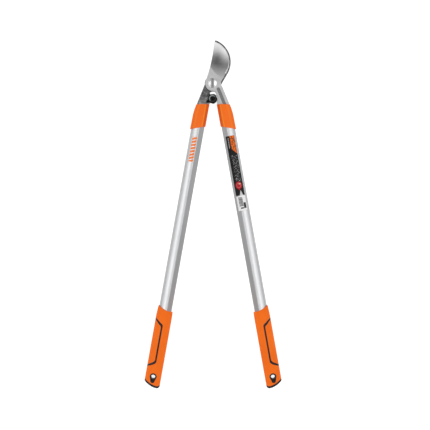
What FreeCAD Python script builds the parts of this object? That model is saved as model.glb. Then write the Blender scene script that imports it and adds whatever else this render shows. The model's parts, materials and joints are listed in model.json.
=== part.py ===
"""Bypass loppers lying flat: a hook blade and a cutting blade on one pivot, with two tubular handles.

Frame: +X across the tool, +Y from the grips towards the blade tip, +Z up from the surface it lies on.
The origin is under the middle of the closed tool. All sizes are in millimetres.
The head is drawn about its own datum, a point on the centre line beside the pivot. The left handle is
drawn along its own tube, and the right one is its mirror.
"""
import FreeCAD, Part
import math
import os

Vector = FreeCAD.Vector

# ---- Overall layout ----
HEAD_Y = 299.5           # the head's datum ahead of the middle of the tool's length
PIVOT = (-1.3, -1.0)     # pivot axis, about the head's datum
PLANE_Z = 13.5           # height of the plane where the blades slide, and of the tube axes
SLIDE_GAP = 0.1          # air between faces that turn on each other
SPLAY = 10.15            # each handle's angle from the tool's centre line, degrees
SPREAD = 16.3            # distance from the centre line to a handle axis, level with the datum

# ---- Jaw outline ----
JAW_CENTRE = (-12.5, 47.1)
JAW_RADIUS = 52.6        # outer edge of the hook
TIP_ANGLE = 70.0
HEEL_ANGLE = -30.5       # where the round edge runs into the straight heel
HEEL_LENGTH = 23.4
EDGE_SETBACK = 3.2       # how far the closed cutting edge stays inside the hook's outer edge

# ---- Hook blade ----
HOOK_THICK = 5.5
HOOK_BOSS_RADIUS = 17.2
HOOK_TIP_INNER = (2.6, 91.5)
HOOK_THROAT_MIDDLE = (24.0, 58.0)
HOOK_THROAT_ROOT = (9.5, 20.0)
HOOK_NECK_RIGHT = (0.8, -20.7)    # short scoop between the boss and the bumper's ear
HOOK_NECK_MIDDLE = (-4.6, -21.2)
HOOK_NECK_LEFT = (-7.6, -23.6)
HOOK_SHOULDER = (-18.9, -4.0)

# ---- Cutting blade ----
BLADE_THICK = 4.6
BLADE_BOSS_CENTRE = (0.4, -1.8)
BLADE_BOSS_RADIUS = 18.3
BLADE_TIP_BACK = (2.6, 91.0)
SPINE_MIDDLE = (-4.6, 45.0)
BLADE_SHOULDER_MIDDLE = (18.4, -4.4)
BLADE_SHOULDER_END = (21.2, -10.6)
BLADE_SADDLE_END = (6.6, -25.0)
BLADE_NECK_MIDDLE = (4.5, -22.1)
HOLLOW_CENTRE = (52.3, 69.7)
HOLLOW_RADIUS = 67.6     # edge of the hollow-ground face where it meets the neck
HOLLOW_DEPTH = 3.1
BEVEL_ANGLE = 52.0       # ground edge, degrees from the sliding face
BEVEL_PAST_TIP = 14.0    # degrees by which the grinder runs on past the tip
EDGE_LAND = 0.35         # thickness left at the cutting edge
GROOVE_WIDTH = 7.2
GROOVE_DEPTH = 1.6
GROOVE_START = (11.9, -14.8)
GROOVE_END = (26.8, -50.5)
EDGE_BREAK = 0.5         # small chamfer on forged edges

# ---- Pivot ----
SHANK_RADIUS = 4.95
SHANK_FOOT_Z = 0.6       # end of the bolt above the surface the tool lies on
NECK_SIDE = 9.9
BUSH_BORE_RADIUS = 5.0
BUSH_RADIUS = 7.0
DOME_RADIUS = 10.8
DOME_HEIGHT = 1.8
DOME_RIM = 0.8
WASHER_RADIUS = 11.0
WASHER_THICK = 1.5
NUT_FLATS = 17.0
NUT_HEIGHT = 6.4
NUT_CHAMFER = 0.9

# ---- Bumper ----
BUMPER_CENTRE = (-1.2, -37.0)
BUMPER_RADIUS = 11.0
BUMPER_LOBES = 5
BUMPER_LOBE_DEPTH = 1.1
BUMPER_TURN = 22.0       # direction of the first valley between lobes, degrees from +X
BUMPER_HEIGHT = 9.6
BUMPER_EASE = 1.3        # slope round the bumper's upper edge
BUMPER_LIP_RADIUS = 7.4
BUMPER_LIP_HEIGHT = 0.8
BUMPER_WELL_RADIUS = 5.6
BUMPER_WELL_DEPTH = 4.6
BUMPER_CHIN = (0.2, -41.2)      # lower lobe that fills out the bumper towards the handles
BUMPER_CHIN_RADIUS = 7.2
BUMPER_FOOT = (-12.2, -43.4)
BUMPER_FOOT_RADIUS = 3.0
BUMPER_FOOT_HEIGHT = 6.0
BUMPER_STRAP_HEIGHT = 4.0
BUMPER_GAP = 0.3
EAR_CENTRE = (-0.8, -36.9)     # the hook blade's ear under the bumper
EAR_RADIUS = 9.0
SCREW_RADIUS = 3.0
SCREW_HEAD_RADIUS = 4.9
SCREW_HEAD_HEIGHT = 3.4
SCREW_SOCKET = 4.0
SCREW_WEB = 1.0          # solid metal under the socket
SCREW_END = 0.6          # thread standing out of the nut
SMALL_NUT_FLATS = 10.0
SMALL_NUT_HEIGHT = 4.4

# ---- Tangs inside the handles (s along the handle from level with the datum, u towards the centre line) ----
TANG_OUTER_U = -8.6
TANG_INNER_U = 6.2
TANG_NECK_S = 66.0
TANG_END_S = 150.0
TANG_MOUTH_Y = -48.6
TANG_MOUTH_INNER_X = 9.6
TANG_MOUTH_OUTER_X = 36.9

# ---- Tubes ----
TUBE_HALF_WIDTH = 14.75
TUBE_HALF_HEIGHT = 10.0
TUBE_WALL = 1.5
TUBE_SHAPE = (2.8, 2.2, 38.0)    # u of the crest, its radius, and the inner facets' slope in degrees
TUBE_START_S = 67.0
TUBE_END_S = 654.0

# ---- Tang inserts and rivets ----
INSERT_START_S = 68.5
INSERT_END_S = 156.0
RIVET_S = (78.0, 96.0)
RIVET_RADIUS = 3.0

# ---- Collars ----
COLLAR_TOP_Y = -49.4
COLLAR_WALL = 2.0
COLLAR_SHAPE = (8.0, 1.5, 45.0)
COLLAR_BOTTOM_OUTER_S = 112.0     # lower end, level with the trim's outer side
COLLAR_BOTTOM_INNER_S = 99.6
COLLAR_HOOK_RISE = 4.0            # how far the lower end turns up at the inner side
COLLAR_HOOK_MIDDLE = (17.2, 98.6)
COLLAR_HOOK_END = (13.0, 100.4)
COLLAR_TRIM_U = 20.0
COLLAR_ROUND = 0.6       # radius on the collar's two ends
COLLAR_SWELL_S = (40.0, 52.5, 63.0, 76.0, 94.0, 118.0)
COLLAR_SWELL_OUTER = (9.9, 12.7, 14.9, 16.3, 16.75, 16.75)    # reach of its outer side at each of these
COLLAR_SWELL_RISE = (0.74, 0.84, 0.93, 1.0, 1.0, 1.0)         # share of its full height at each of these

# ---- Grips ----
GRIP_HALF_WIDTH = 18.25
GRIP_HALF_HEIGHT = 13.5
GRIP_SHAPE = (0.0, 14.0, 33.0)
GRIP_TAPER_S = (506.0, 524.0, 548.0)
GRIP_TAPER_SHRINK = (3.0, 0.9, 0.0)    # how much slimmer the grip is at each of these
GRIP_CORE_START_S = 538.0
GRIP_BAR_END_S = 720.0
GRIP_COVER = 1.8         # thickness of the soft cover over the hard core
GRIP_TRIM_U = 30.0       # half the width of the outline that trims the grip's ends
GRIP_TOP_OUTER_S = 518.2
GRIP_LIP_START = (-17.6, 518.2)
GRIP_LIP_TOP = (-16.2, 517.6)
GRIP_LIP_END = (-14.4, 518.8)
GRIP_SCOOP_MIDDLE = (-1.3, 525.2)
GRIP_SCOOP_END = (16.0, 527.6)
GRIP_BOTTOM_OUTER_S = 691.4
GRIP_BOTTOM_LOW = (11.0, 704.4)
GRIP_BOTTOM_INNER_S = 699.2
GRIP_HEEL_U = 16.0       # where the round inner corner of the end passes
GRIP_HEEL_DROP = 3.6
GRIP_SOLE_U = 4.0        # where the curve from the end's lowest point to its outer side passes
GRIP_SOLE_RISE = 4.4
GRIP_RIM = 5.0           # bare core at the end of the grip
GRIP_ROUND = 1.6         # radius round the end of the grip
LINE_WIDTH = 3.8         # core rib that shows round the outer panel
LINE_U = -0.6
LINE_TOP_S = 560.0
LINE_BOTTOM_S = 645.5
LINE_TOP_OUTER_S = 547.5
LINE_BOTTOM_OUTER_S = 656.2
LINE_TOP_REACH = 4.4     # where the line's upper corner starts, and how sharply it turns
LINE_TOP_CREST = 1.2
LINE_TOP_DROP = 5.0
LINE_LOW_RISE = 2.0      # the same for its lower corner
LINE_LOW_MIDDLE = (2.4, 1.6)
LINE_LOW_END = (7.0, 5.0)

# ---- Hang hole ----
HANG_S = 679.3
HANG_RADIUS = 4.75
HANG_FACE = 12.5         # half the length of the hole, between the flat faces round it
HANG_PAD_RADIUS = 8.0
HANG_PAD_FOOT_S = 689.0
HANG_PAD_FOOT_RADIUS = 4.8
HANG_POCKET_DEPTH = 3.0
HANG_RIB_WIDTH = 1.4
HANG_POCKET_WALL = 1.2

# ---- Printed labels on the right tube ----
LABEL_THICK = 0.15
LABEL_HALF_WIDTH = 10.0
LABEL_START_S = 123.6
LABEL_END_S = 261.0
STICKER_START_S = 262.8
STICKER_END_S = 295.6

BEYOND = 60.0            # half the length of cutting bodies that go right through
PROUD = 1.0              # how far a cutting body stands out of an open face


def flat(point, height=0.0):
    return Vector(point[0], point[1], height)


def polar(centre, radius, degrees):
    turn = math.radians(degrees)
    return (centre[0] + radius * math.cos(turn), centre[1] + radius * math.sin(turn))


def outline(start, *steps):
    """Closed wire: each step is an end point, or (through, end) for an arc."""
    edges = []
    here = start
    for step in steps:
        if isinstance(step[0], tuple):
            through, end = step
            edges.append(Part.Arc(flat(here), flat(through), flat(end)).toShape())
        else:
            end = step
            edges.append(Part.makeLine(flat(here), flat(end)))
        here = end
    if math.dist(here, start) > 1e-6:
        edges.append(Part.makeLine(flat(here), flat(start)))
    return Part.Wire(edges)


def plate(wire, low, high):
    face = Part.Face(wire)
    face.translate(Vector(0, 0, low))
    return face.extrude(Vector(0, 0, high - low))


def disc(centre, radius, low, high):
    return Part.makeCylinder(radius, high - low, flat(centre, low))


def hexagon(centre, flats, low, high):
    corner = flats / math.sqrt(3)
    corners = [polar(centre, corner, 60 * side) for side in range(6)]
    return plate(outline(*corners), low, high)


def chamfered_nut(centre, flats, bore_radius, low, high, chamfer):
    """Hexagon nut whose corners are turned off at both ends."""
    corner = flats / math.sqrt(3)
    turned = Part.makeCone(corner - chamfer, corner + (high - low) - chamfer, high - low, flat(centre, low))
    other = Part.makeCone(corner + (high - low) - chamfer, corner - chamfer, high - low, flat(centre, low))
    nut = hexagon(centre, flats, low, high).common(turned).common(other)
    return nut.cut(disc(centre, bore_radius, low, high))


def slope_off(wire, level, rise):
    """Layer that narrows from the outline by as much as it rises or falls, for a broken edge."""
    smaller = wire.makeOffset2D(-abs(rise), 2)
    smaller.translate(Vector(0, 0, rise))
    layer = Part.makeLoft([wire, smaller], True, True)
    layer.translate(Vector(0, 0, level))
    return layer


def eased_plate(wire, low, high, ease_low):
    """Plate with its upper outline edges broken, and its lower ones too if ease_low."""
    layers = [slope_off(wire, high - EDGE_BREAK, EDGE_BREAK)]
    bottom = low
    if ease_low:
        bottom = low + EDGE_BREAK
        layers.append(slope_off(wire, bottom, -EDGE_BREAK))
    return plate(wire, bottom, high - EDGE_BREAK).fuse(layers).removeSplitter()


def square(centre, side, low, high):
    return Part.makeBox(side, side, high - low, Vector(centre[0] - side / 2, centre[1] - side / 2, low))


# ---- Handle frame: x = u towards the centre line, y = w up, z = s along the tube ----
AXIS_DOWN = (-math.sin(math.radians(SPLAY)), -math.cos(math.radians(SPLAY)))
AXIS_IN = (math.cos(math.radians(SPLAY)), -math.sin(math.radians(SPLAY)))
HANDLE_FRAME = FreeCAD.Placement(FreeCAD.Matrix(
    AXIS_IN[0], 0, AXIS_DOWN[0], -SPREAD,
    AXIS_IN[1], 0, AXIS_DOWN[1], 0,
    0, 1, 0, PLANE_Z,
    0, 0, 0, 1))


def handle_point(s, u):
    """Plan position of a point on the left handle."""
    return (-SPREAD + s * AXIS_DOWN[0] + u * AXIS_IN[0], s * AXIS_DOWN[1] + u * AXIS_IN[1])


def level_s(y, u):
    """Distance s at which a line along the handle, at u, passes height y in plan."""
    return (y - u * AXIS_IN[1]) / AXIS_DOWN[1]


def mirrored(point):
    return (-point[0], point[1])


def to_left(shape):
    """Move a solid from the handle frame to its place on the left handle."""
    placed = shape.copy()
    placed.Placement = HANDLE_FRAME.multiply(placed.Placement)
    return placed


def to_right(shape):
    return to_left(shape).mirror(Vector(0, 0, 0), Vector(1, 0, 0))


def oval(outer, inner, half_height, shape, s):
    """Handle section: half an ellipse, round crests, and flat facets that run to a round inner nose."""
    crest, crest_radius, facet = shape
    turn = math.radians(facet)
    facet_u = crest + crest_radius * math.sin(turn)
    facet_w = half_height - crest_radius * (1 - math.cos(turn))
    reach = facet_u * math.sin(turn) + facet_w * math.cos(turn)
    nose_radius = (reach - inner * math.sin(turn)) / (1 - math.sin(turn))
    if nose_radius <= 0:
        raise ValueError("the facets meet before they reach the nose")
    nose_u = inner - nose_radius * (1 - math.sin(turn))
    nose_w = nose_radius * math.cos(turn)
    mid_u = crest + crest_radius * math.sin(turn / 2)
    mid_w = half_height - crest_radius * (1 - math.cos(turn / 2))

    def spot(u, w):
        return Vector(u, w, s)

    ellipse = Part.Ellipse(spot(crest, 0), outer + crest, half_height)
    return Part.Wire([
        Part.ArcOfEllipse(ellipse, math.pi / 2, 3 * math.pi / 2).toShape(),
        Part.Arc(spot(crest, -half_height), spot(mid_u, -mid_w), spot(facet_u, -facet_w)).toShape(),
        Part.makeLine(spot(facet_u, -facet_w), spot(nose_u, -nose_w)),
        Part.Arc(spot(nose_u, -nose_w), spot(inner, 0), spot(nose_u, nose_w)).toShape(),
        Part.makeLine(spot(nose_u, nose_w), spot(facet_u, facet_w)),
        Part.Arc(spot(facet_u, facet_w), spot(mid_u, mid_w), spot(crest, half_height)).toShape(),
    ])


def oval_bar(half_width, half_height, shape, grow, start, end):
    """Straight bar of oval section, with its surface moved out by grow."""
    crest, crest_radius, facet = shape
    wide = half_width + grow
    face = Part.Face(oval(wide, wide, half_height + grow, (crest, crest_radius + grow, facet), start))
    return face.extrude(Vector(0, 0, end - start))


def side_cut(wire):
    """Prism through the handle's height from a plan outline drawn in (u, s)."""
    face = Part.Face(wire)
    face.rotate(Vector(0, 0, 0), Vector(1, 0, 0), 90)
    prism = face.extrude(Vector(0, 2 * BEYOND, 0))
    prism.translate(Vector(0, -BEYOND, 0))
    return prism


# ---- Blades ----
def jaw_edge(setback):
    """Tip, middle, end of the round edge and heel of a jaw edge set in from the hook's outer edge."""
    radius = JAW_RADIUS - setback
    tip = polar(JAW_CENTRE, radius, TIP_ANGLE)
    middle = polar(JAW_CENTRE, radius, (TIP_ANGLE + HEEL_ANGLE) / 2)
    bend = polar(JAW_CENTRE, radius, HEEL_ANGLE)
    heel = polar(bend, HEEL_LENGTH, HEEL_ANGLE - 90)
    return tip, middle, bend, heel


def tang_in_handle(side):
    """Points of a tang inside its handle, from its outer mouth corner round to its inner one."""
    points = [
        handle_point(TANG_NECK_S, TANG_OUTER_U),
        handle_point(TANG_END_S, TANG_OUTER_U),
        handle_point(TANG_END_S, TANG_INNER_U),
        handle_point(TANG_NECK_S, TANG_INNER_U),
    ]
    if side == "right":
        points = [mirrored(point) for point in points]
    return points


def through_hole(radius, s):
    """Round cutting body through the handle's height."""
    return Part.makeCylinder(radius, 2 * BEYOND, Vector(0, BEYOND, s), Vector(0, -1, 0))


def rivet_holes():
    return Part.makeCompound([through_hole(RIVET_RADIUS, s) for s in RIVET_S])


def hook_blade():
    low = PLANE_Z - HOOK_THICK
    tip, middle, bend, heel = jaw_edge(0.0)
    ear_top = polar(EAR_CENTRE, EAR_RADIUS, 125)
    ear_side = polar(EAR_CENTRE, EAR_RADIUS, 10)
    ear_foot = polar(EAR_CENTRE, EAR_RADIUS, -105)
    outer_neck, outer_end, inner_end, inner_neck = tang_in_handle("left")
    wire = outline(
        tip,
        (middle, bend),
        heel,
        (polar(PIVOT, HOOK_BOSS_RADIUS, -45), polar(PIVOT, HOOK_BOSS_RADIUS, -72)),
        HOOK_NECK_RIGHT,
        (HOOK_NECK_MIDDLE, HOOK_NECK_LEFT),
        ear_top,
        (ear_side, ear_foot),
        (-TANG_MOUTH_INNER_X, TANG_MOUTH_Y),
        inner_neck, inner_end, outer_end, outer_neck,
        (-TANG_MOUTH_OUTER_X, TANG_MOUTH_Y),
        HOOK_SHOULDER,
        (polar(PIVOT, HOOK_BOSS_RADIUS, 142), polar(PIVOT, HOOK_BOSS_RADIUS, 95)),
        HOOK_THROAT_ROOT,
        (HOOK_THROAT_MIDDLE, HOOK_TIP_INNER),
    )
    blade = eased_plate(wire, low, PLANE_Z, True)
    blade = blade.cut(disc(PIVOT, BUSH_RADIUS, low, PLANE_Z))
    blade = blade.cut(disc(BUMPER_CENTRE, SCREW_RADIUS, low, PLANE_Z))
    return blade.cut(to_left(rivet_holes()))


def bevel_cutter():
    """What the grinder takes off along the cutting edge: a ring round the jaw and a prism along the heel."""
    bend, heel = jaw_edge(EDGE_SETBACK)[2:]
    low = PLANE_Z + SLIDE_GAP + EDGE_LAND
    high = PLANE_Z + SLIDE_GAP + BLADE_THICK + PROUD
    width = (high - low) / math.tan(math.radians(BEVEL_ANGLE))
    start = JAW_CENTRE[0] + JAW_RADIUS - EDGE_SETBACK
    corners = [
        Vector(start, JAW_CENTRE[1], low),
        Vector(start - width, JAW_CENTRE[1], high),
        Vector(start + PROUD, JAW_CENTRE[1], high),
        Vector(start + PROUD, JAW_CENTRE[1], low),
        Vector(start, JAW_CENTRE[1], low),
    ]
    profile = Part.Face(Part.makePolygon(corners))
    axis = flat(JAW_CENTRE)
    profile.rotate(axis, Vector(0, 0, 1), HEEL_ANGLE)
    ring = profile.revolve(axis, Vector(0, 0, 1), TIP_ANGLE - HEEL_ANGLE + BEVEL_PAST_TIP)
    along = flat(heel) - flat(bend)
    prism = profile.extrude(along + along.normalize() * PROUD)
    return ring.fuse(prism)


def hollow_cutter():
    """Large sphere that grinds the shallow hollow of the blade's front face."""
    radius = (HOLLOW_RADIUS ** 2 + HOLLOW_DEPTH ** 2) / (2 * HOLLOW_DEPTH)
    top = PLANE_Z + SLIDE_GAP + BLADE_THICK
    return Part.makeSphere(radius, flat(HOLLOW_CENTRE, top - HOLLOW_DEPTH + radius))


def groove_cutter():
    """Long round-ended recess down the front of the cutting blade's tang."""
    run = flat(GROOVE_END) - flat(GROOVE_START)
    side = Vector(-run.y, run.x, 0).normalize() * (GROOVE_WIDTH / 2)
    start = flat(GROOVE_START)
    end = flat(GROOVE_END)
    over = start - run.normalize() * (GROOVE_WIDTH / 2)
    edges = [
        Part.Arc(start + side, over, start - side).toShape(),
        Part.makeLine(start - side, end - side),
        Part.makeLine(end - side, end + side),
        Part.makeLine(end + side, start + side),
    ]
    top = PLANE_Z + SLIDE_GAP + BLADE_THICK
    return plate(Part.Wire(edges), top - GROOVE_DEPTH, top + PROUD)


def cutting_blade():
    low = PLANE_Z + SLIDE_GAP
    high = low + BLADE_THICK
    tip, middle, bend, heel = jaw_edge(EDGE_SETBACK)
    saddle = BUMPER_RADIUS + BUMPER_GAP
    outer_neck, outer_end, inner_end, inner_neck = tang_in_handle("right")
    wire = outline(
        tip,
        (middle, bend),
        heel,
        (BLADE_SHOULDER_MIDDLE, BLADE_SHOULDER_END),
        (TANG_MOUTH_OUTER_X, TANG_MOUTH_Y),
        outer_neck, outer_end, inner_end, inner_neck,
        (TANG_MOUTH_INNER_X, TANG_MOUTH_Y),
        polar(BUMPER_CENTRE, saddle, -40),
        (polar(BUMPER_CENTRE, saddle, 0), polar(BUMPER_CENTRE, saddle, 42)),
        BLADE_SADDLE_END,
        (BLADE_NECK_MIDDLE, polar(BLADE_BOSS_CENTRE, BLADE_BOSS_RADIUS, -90)),
        (polar(BLADE_BOSS_CENTRE, BLADE_BOSS_RADIUS, -150), polar(BLADE_BOSS_CENTRE, BLADE_BOSS_RADIUS, 163)),
        (SPINE_MIDDLE, BLADE_TIP_BACK),
    )
    blade = eased_plate(wire, low, high, False)
    blade = blade.cut(hollow_cutter())
    blade = blade.cut(bevel_cutter())
    blade = blade.cut(groove_cutter())
    blade = blade.cut(square(PIVOT, NECK_SIDE, low, high))
    return blade.cut(to_right(rivet_holes()))


# ---- Pivot ----
def pivot_bolt():
    """Domed head, square neck held in the cutting blade, round shank through the hook blade."""
    seat = PLANE_Z + SLIDE_GAP + BLADE_THICK
    radius = (DOME_RADIUS ** 2 + DOME_HEIGHT ** 2) / (2 * DOME_HEIGHT)
    sphere = Part.makeSphere(radius, flat(PIVOT, seat + DOME_RIM + DOME_HEIGHT - radius))
    head = disc(PIVOT, DOME_RADIUS, seat, seat + DOME_RIM + DOME_HEIGHT).common(sphere)
    neck = square(PIVOT, NECK_SIDE, PLANE_Z + SLIDE_GAP, seat)
    shank = disc(PIVOT, SHANK_RADIUS, SHANK_FOOT_Z, PLANE_Z + SLIDE_GAP)
    return head.fuse(neck).fuse(shank).removeSplitter()


def pivot_bush():
    low = PLANE_Z - HOOK_THICK
    return disc(PIVOT, BUSH_RADIUS, low, PLANE_Z).cut(disc(PIVOT, BUSH_BORE_RADIUS, low, PLANE_Z))


def pivot_washer():
    high = PLANE_Z - HOOK_THICK - SLIDE_GAP
    ring = disc(PIVOT, WASHER_RADIUS, high - WASHER_THICK, high)
    return ring.cut(disc(PIVOT, SHANK_RADIUS, high - WASHER_THICK, high))


def pivot_nut():
    high = PLANE_Z - HOOK_THICK - SLIDE_GAP - WASHER_THICK
    return chamfered_nut(PIVOT, NUT_FLATS, SHANK_RADIUS, high - NUT_HEIGHT, high, NUT_CHAMFER)


# ---- Bumper ----
def bumper():
    """Rubber buffer with a lobed rim, a raised lip round its screw well and a small locating foot."""
    top = PLANE_Z + BUMPER_HEIGHT
    shoulder = top - BUMPER_EASE
    lobe_step = 360.0 / BUMPER_LOBES
    valley_radius = BUMPER_RADIUS - BUMPER_LOBE_DEPTH
    steps = []
    for lobe in range(BUMPER_LOBES):
        peak = polar(BUMPER_CENTRE, BUMPER_RADIUS, BUMPER_TURN + (lobe + 0.5) * lobe_step)
        valley = polar(BUMPER_CENTRE, valley_radius, BUMPER_TURN + (lobe + 1) * lobe_step)
        steps.append((peak, valley))
    rim = outline(polar(BUMPER_CENTRE, valley_radius, BUMPER_TURN), *steps)
    lip = disc(BUMPER_CENTRE, BUMPER_LIP_RADIUS, shoulder, top + BUMPER_LIP_HEIGHT)
    foot = disc(BUMPER_FOOT, BUMPER_FOOT_RADIUS, PLANE_Z, PLANE_Z + BUMPER_FOOT_HEIGHT)
    strap = disc_link(BUMPER_CENTRE, BUMPER_FOOT, BUMPER_FOOT_RADIUS, PLANE_Z, PLANE_Z + BUMPER_STRAP_HEIGHT)
    chin = disc(BUMPER_CHIN, BUMPER_CHIN_RADIUS, PLANE_Z, shoulder)
    body = plate(rim, PLANE_Z, shoulder).fuse([slope_off(rim, shoulder, BUMPER_EASE), lip, foot, strap, chin])
    body = body.removeSplitter()
    body = body.cut(disc(BUMPER_CENTRE, BUMPER_WELL_RADIUS, top - BUMPER_WELL_DEPTH, top + BUMPER_LIP_HEIGHT))
    return body.cut(disc(BUMPER_CENTRE, SCREW_RADIUS, PLANE_Z, top))


def disc_link(start, end, half_width, low, high):
    """Straight bar between the centres of two discs."""
    run = flat(end) - flat(start)
    side = Vector(-run.y, run.x, 0).normalize() * half_width
    corners = [flat(start) + side, flat(start) - side, flat(end) - side, flat(end) + side]
    return plate(outline(*[(corner.x, corner.y) for corner in corners]), low, high)


def bumper_screw():
    seat = PLANE_Z + BUMPER_HEIGHT - BUMPER_WELL_DEPTH
    foot = PLANE_Z - HOOK_THICK - SMALL_NUT_HEIGHT - SCREW_END
    head = disc(BUMPER_CENTRE, SCREW_HEAD_RADIUS, seat, seat + SCREW_HEAD_HEIGHT)
    head = head.cut(hexagon(BUMPER_CENTRE, SCREW_SOCKET, seat + SCREW_WEB, seat + SCREW_HEAD_HEIGHT))
    return head.fuse(disc(BUMPER_CENTRE, SCREW_RADIUS, foot, seat)).removeSplitter()


def bumper_nut():
    high = PLANE_Z - HOOK_THICK
    low = high - SMALL_NUT_HEIGHT
    return chamfered_nut(BUMPER_CENTRE, SMALL_NUT_FLATS, SCREW_RADIUS, low, high, EDGE_BREAK)


# ---- Handles, drawn in the handle frame ----
def tube_bar(start, end, grow=0.0):
    return oval_bar(TUBE_HALF_WIDTH, TUBE_HALF_HEIGHT, TUBE_SHAPE, grow, start, end)


def tube_bore(start, end):
    return tube_bar(start, end, -TUBE_WALL)


def tube():
    shell = tube_bar(TUBE_START_S, TUBE_END_S).cut(tube_bore(TUBE_START_S, TUBE_END_S))
    return shell.cut(rivet_holes())


def tang_insert():
    """Moulded filler that holds the tang in the tube; the tang is cut out of it once it is in place."""
    return tube_bore(INSERT_START_S, INSERT_END_S).cut(rivet_holes())


def tang_rivets():
    """Two flush rivets through tube, filler and tang."""
    return rivet_holes().common(tube_bar(TUBE_START_S, TUBE_END_S))


def collar():
    """Moulded shell that swells from the tang's width to the tube's; both are cut out of it later."""
    proud = TUBE_HALF_WIDTH + COLLAR_WALL
    height = TUBE_HALF_HEIGHT + COLLAR_WALL
    wires = []
    for s, outer, rise in zip(COLLAR_SWELL_S, COLLAR_SWELL_OUTER, COLLAR_SWELL_RISE):
        wires.append(oval(outer, proud, height * rise, COLLAR_SHAPE, s))
    swell = Part.makeLoft(wires, True, False)
    ends = outline(
        (-COLLAR_TRIM_U, level_s(COLLAR_TOP_Y, -COLLAR_TRIM_U)),
        (COLLAR_TRIM_U, level_s(COLLAR_TOP_Y, COLLAR_TRIM_U)),
        (COLLAR_TRIM_U, COLLAR_BOTTOM_INNER_S - COLLAR_HOOK_RISE),
        (COLLAR_HOOK_MIDDLE, COLLAR_HOOK_END),
        (-COLLAR_TRIM_U, COLLAR_BOTTOM_OUTER_S),
    )
    body = swell.common(side_cut(ends))
    middle = (level_s(COLLAR_TOP_Y, 0.0) + COLLAR_BOTTOM_INNER_S) / 2
    return body.makeFillet(COLLAR_ROUND, end_edges(body, middle) + end_edges(body, middle, False))


def end_edges(solid, limit, below=True):
    """Edges round one end of a handle piece, found by where they lie along the handle."""
    chosen = []
    for edge in solid.Edges:
        middle = edge.CenterOfMass.z
        along = edge.tangentAt((edge.FirstParameter + edge.LastParameter) / 2).z
        if (middle < limit) == below and abs(along) < 0.95:
            chosen.append(edge)
    return chosen


def grip_ends(inset):
    """Plan outline of the grip: scooped top, round bottom, with the bottom set back by inset."""
    low_u, low_s = GRIP_BOTTOM_LOW
    outer_s = GRIP_BOTTOM_OUTER_S - inset
    inner_s = GRIP_BOTTOM_INNER_S - inset
    return outline(
        (-GRIP_TRIM_U, GRIP_TOP_OUTER_S),
        GRIP_LIP_START,
        (GRIP_LIP_TOP, GRIP_LIP_END),
        (GRIP_SCOOP_MIDDLE, GRIP_SCOOP_END),
        (GRIP_TRIM_U, GRIP_SCOOP_END[1]),
        (GRIP_TRIM_U, inner_s),
        (GRIP_HALF_WIDTH, inner_s),
        ((GRIP_HEEL_U, inner_s + GRIP_HEEL_DROP), (low_u, low_s - inset)),
        ((-GRIP_SOLE_U, low_s - GRIP_SOLE_RISE - inset), (-GRIP_HALF_WIDTH, outer_s)),
        (-GRIP_TRIM_U, outer_s),
    )


def grip_bar(grow, start):
    return oval_bar(GRIP_HALF_WIDTH, GRIP_HALF_HEIGHT, GRIP_SHAPE, grow, start, GRIP_BAR_END_S)


def grip_body():
    """Whole grip: straight below, and slimmer towards its scooped top, where it hugs the tube."""
    crest, crest_radius, facet = GRIP_SHAPE
    sections = []
    for s, shrink in zip(GRIP_TAPER_S, GRIP_TAPER_SHRINK):
        wide = GRIP_HALF_WIDTH - shrink
        shape = (crest, crest_radius - shrink, facet)
        sections.append(oval(wide, wide, GRIP_HALF_HEIGHT - shrink, shape, s))
    taper = Part.makeLoft(sections, True, False)
    return taper.fuse(grip_bar(0.0, GRIP_TAPER_S[-1])).common(side_cut(grip_ends(0.0)))


def panel_outline(grow):
    """Plan outline of the grip's outer panel, grown by half the width of the line round it."""
    side = LINE_U + grow
    top = LINE_TOP_S - grow
    bottom = LINE_BOTTOM_S + grow
    top_outer = LINE_TOP_OUTER_S - grow
    bottom_outer = LINE_BOTTOM_OUTER_S + grow
    low_middle = (side - LINE_LOW_MIDDLE[0], bottom + LINE_LOW_MIDDLE[1])
    low_end = (side - LINE_LOW_END[0], bottom + LINE_LOW_END[1])
    return outline(
        (-GRIP_TRIM_U, top_outer),
        (-GRIP_HALF_WIDTH, top_outer),
        (side - LINE_TOP_REACH, top - LINE_TOP_CREST),
        ((side - LINE_TOP_CREST, top + LINE_TOP_CREST), (side, top + LINE_TOP_DROP)),
        (side, bottom - LINE_LOW_RISE),
        (low_middle, low_end),
        (-GRIP_HALF_WIDTH, bottom_outer),
        (-GRIP_TRIM_U, bottom_outer),
    )


def pad_outline():
    """Teardrop round the hang hole, wide at the hole and narrow towards the end of the grip."""
    return outline(
        (-HANG_PAD_RADIUS, HANG_S),
        ((0, HANG_S - HANG_PAD_RADIUS), (HANG_PAD_RADIUS, HANG_S)),
        (HANG_PAD_FOOT_RADIUS, HANG_PAD_FOOT_S),
        ((0, HANG_PAD_FOOT_S + HANG_PAD_FOOT_RADIUS), (-HANG_PAD_FOOT_RADIUS, HANG_PAD_FOOT_S)),
    )


def hang_pockets():
    """Shallow pockets below the hang hole, front and back, each with a rib left down its middle."""
    top = HANG_S + HANG_RADIUS + HANG_POCKET_WALL
    wide = HANG_PAD_RADIUS - 2 * HANG_POCKET_WALL
    narrow = HANG_PAD_FOOT_RADIUS - HANG_POCKET_WALL
    foot = HANG_PAD_FOOT_S
    pocket = side_cut(outline((-wide, top), (wide, top), (narrow, foot), (-narrow, foot)))
    rib = handle_block(HANG_RIB_WIDTH / 2, BEYOND)
    solid_middle = handle_block(BEYOND, HANG_FACE - HANG_POCKET_DEPTH)
    return pocket.cut(rib).cut(solid_middle)


def handle_block(half_width, half_height, start=HANG_S - BEYOND):
    """Long box about the handle's axis."""
    return Part.makeBox(2 * half_width, 2 * half_height, 2 * BEYOND, Vector(-half_width, -half_height, start))


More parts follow.
